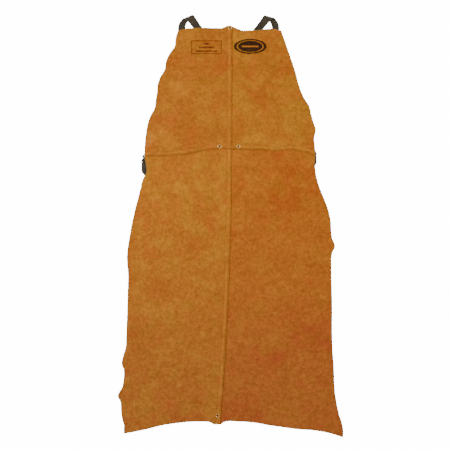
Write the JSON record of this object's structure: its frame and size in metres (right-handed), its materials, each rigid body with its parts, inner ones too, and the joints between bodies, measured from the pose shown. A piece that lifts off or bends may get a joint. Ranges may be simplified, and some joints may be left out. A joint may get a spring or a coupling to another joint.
{
  "type": "welding apron",
  "caption": "Full-length split-leather welding apron, lying face up: lapped bib and skirt panels, riveted seams, crossed webbing shoulder straps and a side release buckle at the waist.",
  "frame": {"origin": "middle of the underside of the box round the apron, on the surface that it lies on", "axes": "+X to the right of the apron's face, +Y up the apron towards the neck, +Z out of the face"},
  "size_m": [0.5984, 1.1322, 0.0121],
  "materials": {
    "suede": "suede",
    "webbing": "woven",
    "buckle": "satin",
    "brass": "worn"
  },
  "bodies": {
    "apron": {"bib_panel_left": "suede", "bib_panel_right": "suede", "skirt_panel_left": "suede", "skirt_panel_right": "suede", "rivet_top_eyelet": "brass", "rivet_top_washer": "brass", "rivet_waist_left_eyelet": "brass", "rivet_waist_left_washer": "brass", "rivet_waist_right_eyelet": "brass", "rivet_waist_right_washer": "brass", "rivet_hem_eyelet": "brass", "rivet_hem_washer": "brass", "shoulder_strap_left": "webbing", "shoulder_strap_right": "webbing", "buckle_tab": "webbing", "buckle_body": "buckle"},
    "plug": {"buckle_plug": "buckle"},
    "prong_left": {"buckle_prong_left": "buckle"},
    "prong_right": {"buckle_prong_right": "buckle"}
  },
  "joints": [
    {"name": "buckle_release", "type": "slide", "parent": "apron", "child": "plug", "axis": [0.6494, 0.7604, 0], "range_m": [0, 0.036]},
    {"name": "prong_left_squeeze", "type": "hinge", "parent": "plug", "child": "prong_left", "pos_m": [-0.21357, 0.20568, 0.0031], "axis": [0, 0, 1], "range_deg": [0, 6], "stiffness_Nm_per_rad": 0.4},
    {"name": "prong_right_squeeze", "type": "hinge", "parent": "plug", "child": "prong_right", "pos_m": [-0.19821, 0.19256, 0.0031], "axis": [0, 0, 1], "range_deg": [-6, 0], "stiffness_Nm_per_rad": 0.4}
  ],
  "couplings": [
    {"joint": "prong_right_squeeze", "follows": "prong_left_squeeze", "ratio": -1}
  ]
}
